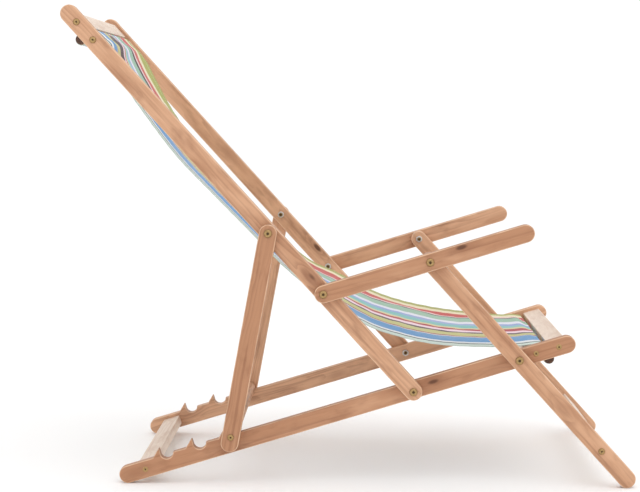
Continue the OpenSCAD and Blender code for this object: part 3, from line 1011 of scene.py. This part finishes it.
# Side view of the fabric's two long edges, in millimetres, from the front bar to the top bar
LEFT_EDGE = [
    (250, 20), (233, 25), (180, 46), (128, 68), (80, 91), (25, 122), (-30, 162), (-98, 227),
    (-155, 281), (-222, 393), (-288, 527), (-345, 678), (-367, 759), (-375, 806),
]
RIGHT_EDGE = [
    (250, 16), (228, 21), (172, 36), (106, 58), (56, 79), (8, 106), (-48, 146), (-114, 218),
    (-173, 305), (-219, 394), (-270, 492), (-315, 581), (-351, 678), (-375, 754), (-386, 805),
]
# Folds that run along the fabric: the bar each starts from; where it begins, crests and ends as
# shares of the width from the left edge; its height; and the distances from the bar where it
# starts, is full and is gone, all in millimetres
FOLDS = [
    ("top", -0.07, 0.00, 0.07, 7.0, 20, 80, 260),
    ("top", 0.12, 0.27, 0.30, 3.0, 14, 60, 280),
    ("top", 0.40, 0.648, 0.675, 4.5, 0, 16, 190),
    ("top", 0.74, 0.86, 0.97, 4.0, 0, 16, 140),
    ("front", 0.11, 0.27, 0.72, 9.0, 0, 20, 230),
    ("front", 0.11, 0.27, 0.80, 7.0, 140, 260, 430),
    ("front", 0.46, 0.56, 0.61, 2.5, 0, 14, 100),
    ("front", 0.68, 0.82, 0.94, 4.0, 0, 14, 120),
    ("front", 0.00, 0.04, 0.09, 2.5, 0, 14, 90),
]
CLOTH_T = 1.3 * MM
# Size of the grid's cells in the open, and of its rows near the bars and in the hems
CELL = 6.0 * MM
FINE_CELL = 2.0 * MM
PATH_STEP = 0.5 * MM
# Clearance of the fabric's underside from a board, from a board's rounded corner and from a rod
BOARD_GAP = 0.2 * MM
CORNER_GAP = BOARD_GAP + 0.4 * MM
ROD_GAP = 0.1 * MM
# How far the hem's loose end stands off its rod
TAIL = 4 * MM
# On top of the top bar: distance back from its bend, and lift above the bend
OVER_TOP = [(37 * MM, 1.5 * MM), (18 * MM, 0.0)]
# Cloth simulation: its length, how firmly the fabric keeps its place, the distance from a bend over
# which it gets free to follow the simulation, and the furthest it may move
SETTLE_FRAMES = 18
HOLD_HEM, HOLD_OPEN = 1.0, 0.3
HELD_BELOW = 3 * MM
FREE_FROM, FREE_TO = 2 * MM, 45 * MM
SMOOTH_PASSES = 3
MOST_MOVE = 12 * MM
CLOTH_SETTINGS = {
    "pin_stiffness": 1.0,
    "quality": 5,
    "mass": 0.25,
    "tension_stiffness": 30,
    "compression_stiffness": 30,
    "shear_stiffness": 8,
    "bending_stiffness": 12,
    "air_damping": 3,
    "shrink_min": -0.012,
}


def smooth_path(points, spacing):
    """A curve through given points, at even steps of length."""
    p = np.array(points, float)
    ends = np.vstack([2 * p[0] - p[1], p, 2 * p[-1] - p[-2]])
    dense = []
    for i in range(1, len(ends) - 2):
        a, b, c, d = ends[i - 1:i + 3]
        t = np.linspace(0, 1, 24, endpoint=False)[:, None]
        bend = (2 * a - 5 * b + 4 * c - d) * t**2 + (3 * b - a - 3 * c + d) * t**3
        dense.append(0.5 * (2 * b + (c - a) * t + bend))
    dense = np.vstack([*dense, p[-1:]])
    travel = path_travel(dense)
    at = np.linspace(0, travel[-1], max(2, round(travel[-1] / spacing)) + 1)
    return np.stack([np.interp(at, travel, dense[:, k]) for k in range(2)], 1)


def path_travel(path):
    """Length along a path, at each of its points."""
    return np.concatenate([[0], np.cumsum(np.linalg.norm(np.diff(path, axis=0), axis=1))])


def smooth_step(low, high, value):
    """0 up to low, 1 from high on, and smooth between."""
    t = np.clip((value - low) / (high - low), 0, 1)
    return t * t * (3 - 2 * t)


def hem_route(board, rod, outward, facing):
    """Side view of the fabric from a board's free edge, through the slot and once round the rod.
    outward points from the sling's span to the slot, facing from the rod to the seated side."""
    board_low, board_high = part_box(board)
    centre = np.array(in_side_view((board_low + board_high) / 2))
    rod_at = np.array(in_side_view(middle(rod)))
    vertices = [np.array(in_side_view(v.co)) - centre for v in NODES[board].data.vertices]
    half_w = max(v @ outward for v in vertices)
    half_t = max(v @ facing for v in vertices)
    rod_low, rod_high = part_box(rod)
    loop_r = (rod_high.z - rod_low.z) / 2 + CLOTH_T / 2 + ROD_GAP
    lift = CLOTH_T / 2 + BOARD_GAP
    bend_r = EDGE_ROUNDING + CLOTH_T / 2 + CORNER_GAP

    def around(middle_point, radius, degrees):
        turn = math.radians(degrees)
        return middle_point + (outward * math.sin(turn) + facing * math.cos(turn)) * radius

    corner = centre + outward * (half_w - EDGE_ROUNDING) + facing * (half_t - EDGE_ROUNDING)
    bend = [around(corner, bend_r, degrees) for degrees in (0, 30, 60, 90)]
    down = [centre + outward * (half_w + lift) - facing * half_t * 0.2]
    loop = [around(rod_at, loop_r, degrees) for degrees in range(35, 336, 20)]
    tail = [rod_at + facing * (loop_r + TAIL) + outward * CLOTH_T * 0.2]
    return [tuple(p) for p in bend + down + loop + tail]


def sling_edges():
    """The two long edges as rows of side-view points, with each row's distance from the fabric's
    front end, and its distances to the front bend and to the top bend, which are below 0 in the
    hems."""
    base_out, base_face = np.array((1.0, 0.0)), np.array((0.0, 1.0))
    back = np.array(in_side_view(BACK_PIVOT + BACK_DIR))
    back_face = np.array((back[1], -back[0]))
    front = hem_route("front_tension_bar", "front_hem_rod", base_out, base_face)[::-1]
    top = hem_route("top_tension_bar", "top_hem_rod", back, back_face)
    bend = np.array(top[0])
    over_top = [tuple(bend - back * behind + back_face * lift) for behind, lift in OVER_TOP]
    paths = []
    for span in (LEFT_EDGE, RIGHT_EDGE):
        span = [(u * MM, v * MM) for u, v in span]
        paths.append(smooth_path(front + span + over_top + top, PATH_STEP))
    length = sum(path_travel(path)[-1] for path in paths) / 2
    front_hem = path_travel(smooth_path(front, PATH_STEP))[-1]
    top_hem = path_travel(smooth_path(top, PATH_STEP))[-1]
    fine_to, fine_from = front_hem + 2 * CELL, length - top_hem - 2 * CELL
    fine_front = np.arange(0, fine_to, FINE_CELL)
    fine_top = np.arange(length, fine_from, -FINE_CELL)[::-1]
    open_rows = np.linspace(fine_to, fine_from, round((fine_from - fine_to) / CELL))
    along = np.concatenate([fine_front, open_rows, fine_top])
    left, right = (at_shares(path, along / length) for path in paths)
    return left, right, along, along - front_hem, length - top_hem - along


def at_shares(path, shares):
    """The points of an evenly spaced path at shares of its length."""
    own = np.linspace(0, 1, len(path))
    return np.stack([np.interp(shares, own, path[:, k]) for k in (0, 1)], 1)


def sling_shape(left, right, share, from_front, from_top):
    """The fabric's surface before it settles, as rows of side-view points."""
    surface = left[:, None] * (1 - share)[None, :, None] + right[:, None] * share[None, :, None]
    run = np.gradient((left + right) / 2, axis=0)
    run /= np.linalg.norm(run, axis=1)[:, None]
    seated_side = np.stack([run[:, 1], -run[:, 0]], 1)
    for bar, low, crest, high, height, start, full, gone in FOLDS:
        distance = (from_top if bar == "top" else from_front) / MM
        reach = smooth_step(start, full, distance) * (1 - smooth_step(full, gone, distance))
        profile = smooth_step(low, crest, share) * (1 - smooth_step(crest, high, share))
        rise = height * MM * reach[:, None] * profile[None, :]
        surface = surface + rise[:, :, None] * seated_side[:, None, :]
    return surface


def settle(sling, hold, free):
    """Lets the fabric, cut a little larger than its shape, crease and hang under its own weight.
    hold is how firmly each vertex keeps its place, and free, for each row, is how far it may follow
    the simulation, from 0 in the hems to 1."""
    group = sling.vertex_groups.new(name="held")
    for level in sorted(set(hold)):
        group.add([i for i, h in enumerate(hold) if h == level], level, "REPLACE")
    cloth = sling.modifiers.new("settle", "CLOTH")
    cloth.settings.vertex_group_mass = group.name
    for name, value in CLOTH_SETTINGS.items():
        setattr(cloth.settings, name, value)
    cloth.point_cache.frame_end = SETTLE_FRAMES
    start = np.array([v.co for v in sling.data.vertices])
    for frame_number in range(1, SETTLE_FRAMES + 1):
        bpy.context.scene.frame_set(frame_number)
    settled = sling.evaluated_get(bpy.context.evaluated_depsgraph_get())
    moved = np.array([v.co for v in settled.data.vertices]) - start
    sling.modifiers.remove(cloth)
    sling.vertex_groups.remove(group)
    bpy.context.scene.frame_set(1)
    moved = smoothed(moved.reshape(len(free), -1, 3), SMOOTH_PASSES)
    moved = (moved * free[:, None, None]).reshape(-1, 3)
    distance = np.linalg.norm(moved, axis=1)
    moved *= np.minimum(1, MOST_MOVE / np.maximum(distance, 1e-9))[:, None]
    sling.data.vertices.foreach_set("co", (start + moved).astype(np.float32).ravel())
    sling.data.update()


def smoothed(field, passes):
    """A grid of vectors with the finest ripples taken out, its hems kept."""
    for _ in range(passes):
        for axis in (0, 1):
            near = np.concatenate([np.take(field, [0], axis), np.delete(field, -1, axis)], axis)
            far = np.concatenate([np.delete(field, 0, axis), np.take(field, [-1], axis)], axis)
            field = (near + 2 * field + far) / 4
    return field


def build_sling():
    """The fabric, as one sheet from rod to rod in place of the CAD's two halves."""
    cloth_low, cloth_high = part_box("sling_seat")
    left_y, right_y = cloth_high.y, cloth_low.y
    width = left_y - right_y
    left, right, along, from_front, from_top = sling_edges()
    share = np.linspace(0, 1, round(width / CELL) + 1)
    surface = sling_shape(left, right, share, from_front, from_top)
    rows, columns = surface.shape[:2]
    length = along[-1]
    points, cloth, hold = [], [], []
    from_bend = np.minimum(from_front, from_top)
    for i in range(rows):
        for k in range(columns):
            place = side_view(*surface[i, k])
            place.y = left_y - width * share[k]
            points.append(place)
            cloth.append((width * share[k] / MM, along[i] / MM, 0))
            hold.append(HOLD_HEM if from_bend[i] < HELD_BELOW else HOLD_OPEN)
    faces = [
        (i * columns + k, i * columns + k + 1, (i + 1) * columns + k + 1, (i + 1) * columns + k)
        for i in range(rows - 1)
        for k in range(columns - 1)
    ]
    canvas = fabric_material(width / MM, length / MM)
    sling = new_mesh_object("fabric_sling", points, faces, canvas)
    add_attribute(sling, "cloth", cloth, "FLOAT_VECTOR")
    settle(sling, hold, smooth_step(FREE_FROM, FREE_TO, from_bend))
    thick = sling.modifiers.new("thickness", "SOLIDIFY")
    thick.thickness = CLOTH_T
    thick.offset = 0
    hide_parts("sling_seat", "sling_back")
    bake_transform(sling)


make_camera()
make_stage()
make_wood()
make_fasteners()
build_sling()
